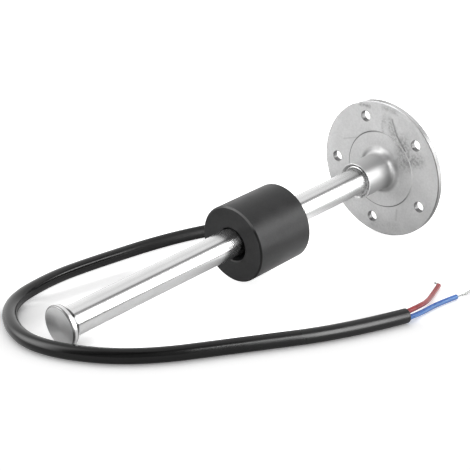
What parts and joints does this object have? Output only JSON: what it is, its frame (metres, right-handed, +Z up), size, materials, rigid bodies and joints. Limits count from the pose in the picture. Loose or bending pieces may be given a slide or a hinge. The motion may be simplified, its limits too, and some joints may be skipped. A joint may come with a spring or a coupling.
{
  "type": "fuel level sender",
  "caption": "Fuel level sender: a round flange with screw holes and a neck, a straight stem tube with a sliding ring float, and a cable that ends in bared cores.",
  "frame": {"origin": "on the floor, in the middle below the sender without its cable, as it lies on the rims of the flange and of the end plug", "axes": "+X along the stem from the end plug to the flange, as seen from above; +Z up; the stem rises 7.3 degrees towards the flange"},
  "size_m": [0.2548, 0.149, 0.0688],
  "materials": {
    "flange_steel": "satin cast stainless, a little mottled",
    "tube_steel": "polished stainless tube",
    "plug_steel": "satin turned stainless",
    "float_foam": "fine matt closed-cell foam",
    "magnet_ferrite": "sintered ferrite",
    "board_laminate": "glass-epoxy laminate",
    "reed_glass": "clear greenish glass",
    "reed_metal": "nickel-iron reeds",
    "chip_body": "chip resistor",
    "potting_resin": "cast resin",
    "boot_rubber": "matt moulded rubber",
    "jacket_black": "satin cable jacket",
    "core_red": "dull red insulation",
    "core_blue": "blue insulation",
    "tinned_strand": "tinned copper strands"
  },
  "bodies": {
    "sender": {"blue_core": "core_blue", "blue_lead_wire": "core_blue", "blue_strands": "tinned_strand", "cable_jacket": "jacket_black", "chip_resistor_01": "chip_body", "chip_resistor_02": "chip_body", "chip_resistor_03": "chip_body", "chip_resistor_04": "chip_body", "chip_resistor_05": "chip_body", "chip_resistor_06": "chip_body", "chip_resistor_07": "chip_body", "chip_resistor_08": "chip_body", "end_plug": "plug_steel", "mounting_flange": "flange_steel", "potting": "potting_resin", "red_core": "core_red", "red_lead_wire": "core_red", "red_strands": "tinned_strand", "reed_board": "board_laminate", "reed_glass_01": "reed_glass", "reed_glass_02": "reed_glass", "reed_glass_03": "reed_glass", "reed_glass_04": "reed_glass", "reed_glass_05": "reed_glass", "reed_glass_06": "reed_glass", "reed_glass_07": "reed_glass", "reed_glass_08": "reed_glass", "reed_lead_lower_01": "reed_metal", "reed_lead_lower_02": "reed_metal", "reed_lead_lower_03": "reed_metal", "reed_lead_lower_04": "reed_metal", "reed_lead_lower_05": "reed_metal", "reed_lead_lower_06": "reed_metal", "reed_lead_lower_07": "reed_metal", "reed_lead_lower_08": "reed_metal", "reed_lead_upper_01": "reed_metal", "reed_lead_upper_02": "reed_metal", "reed_lead_upper_03": "reed_metal", "reed_lead_upper_04": "reed_metal", "reed_lead_upper_05": "reed_metal", "reed_lead_upper_06": "reed_metal", "reed_lead_upper_07": "reed_metal", "reed_lead_upper_08": "reed_metal", "stem_tube": "tube_steel", "strain_relief": "boot_rubber"},
    "float": {"float_body": "float_foam", "float_magnet": "magnet_ferrite"}
  },
  "joints": [
    {"name": "float_slide", "type": "slide", "parent": "sender", "child": "float", "axis": [0.9919, 0, 0.1272], "range_m": [-0.0929, 0.0526]}
  ]
}
